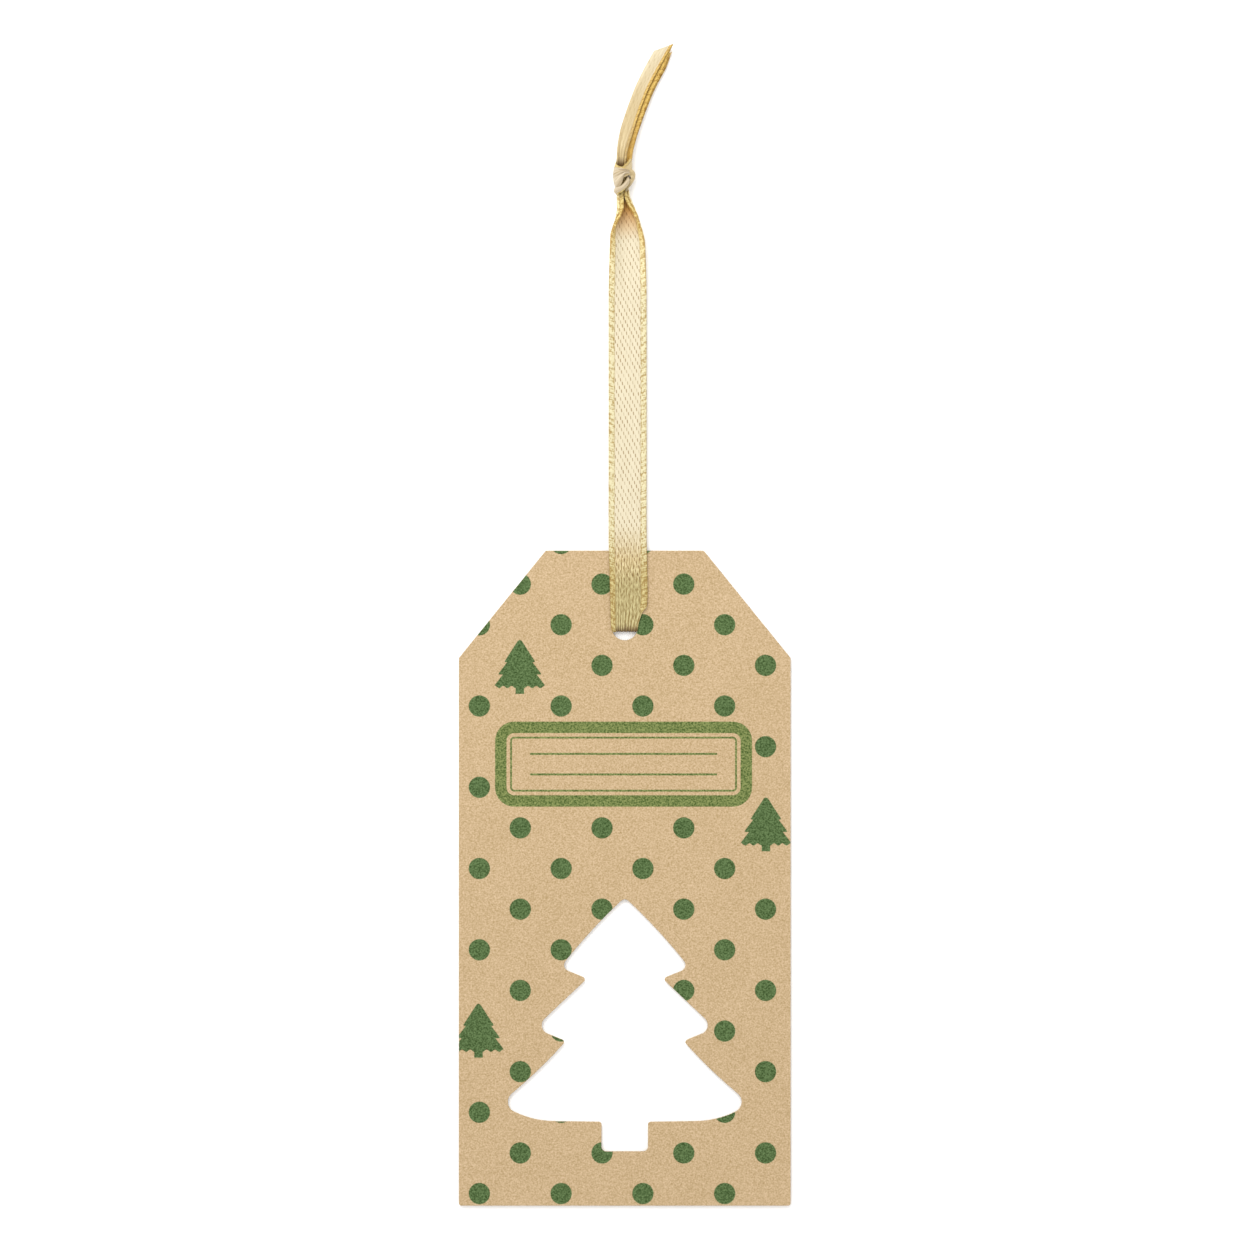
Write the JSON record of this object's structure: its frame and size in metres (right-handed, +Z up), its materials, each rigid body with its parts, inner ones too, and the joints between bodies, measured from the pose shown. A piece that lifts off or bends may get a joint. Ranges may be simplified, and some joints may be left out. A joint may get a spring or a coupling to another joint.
{
  "type": "gift tag",
  "caption": "Long kraft board gift tag with clipped top corners, a die-cut fir tree window, and a narrow gold ribbon looped through its hole and tied in a knot with loose tails.",
  "frame": {"origin": "on the table, below the middle of the card, which lies face up a ribbon's thickness above it", "axes": "+X across the tag to the right, +Y along it from the tree window to the ribbon, +Z up out of the printed face"},
  "size_m": [0.055, 0.1928, 0.0035],
  "materials": {
    "kraft_board": "matte",
    "gold_ribbon": "satin"
  },
  "bodies": {
    "card": {"kraft_card": "kraft_board"},
    "lower_loop": {"ribbon_fold": "gold_ribbon", "front_leg_lower": "gold_ribbon", "back_leg_lower": "gold_ribbon"},
    "middle_loop": {"front_leg_middle": "gold_ribbon", "back_leg_middle": "gold_ribbon"},
    "upper_loop": {"front_leg_upper": "gold_ribbon", "back_leg_upper": "gold_ribbon", "knot": "gold_ribbon"},
    "front_end": {"front_tail": "gold_ribbon"},
    "back_end": {"back_tail": "gold_ribbon"}
  },
  "joints": [
    {"name": "loop_swing", "type": "hinge", "parent": "card", "child": "lower_loop", "pos_m": [0, 0.0416, 0.0006], "axis": [0, 0, 1], "range_deg": [-90, 90]},
    {"name": "loop_lift", "type": "hinge", "parent": "lower_loop", "child": "middle_loop", "pos_m": [0.0004, 0.0716, 0.0006], "axis": [1, 0, 0], "range_deg": [-90, 90]},
    {"name": "loop_twist", "type": "hinge", "parent": "middle_loop", "child": "upper_loop", "pos_m": [0.0004, 0.0856, 0.0006], "axis": [0, 1, 0], "range_deg": [-90, 90]},
    {"name": "front_tail_lift", "type": "hinge", "parent": "upper_loop", "child": "front_end", "pos_m": [-0.0002, 0.11993, 0.0023], "axis": [1, 0, 0], "range_deg": [0, 90]},
    {"name": "back_tail_drop", "type": "hinge", "parent": "upper_loop", "child": "back_end", "pos_m": [-0.0002, 0.11987, 0.0012], "axis": [1, 0, 0], "range_deg": [-90, 0]}
  ]
}
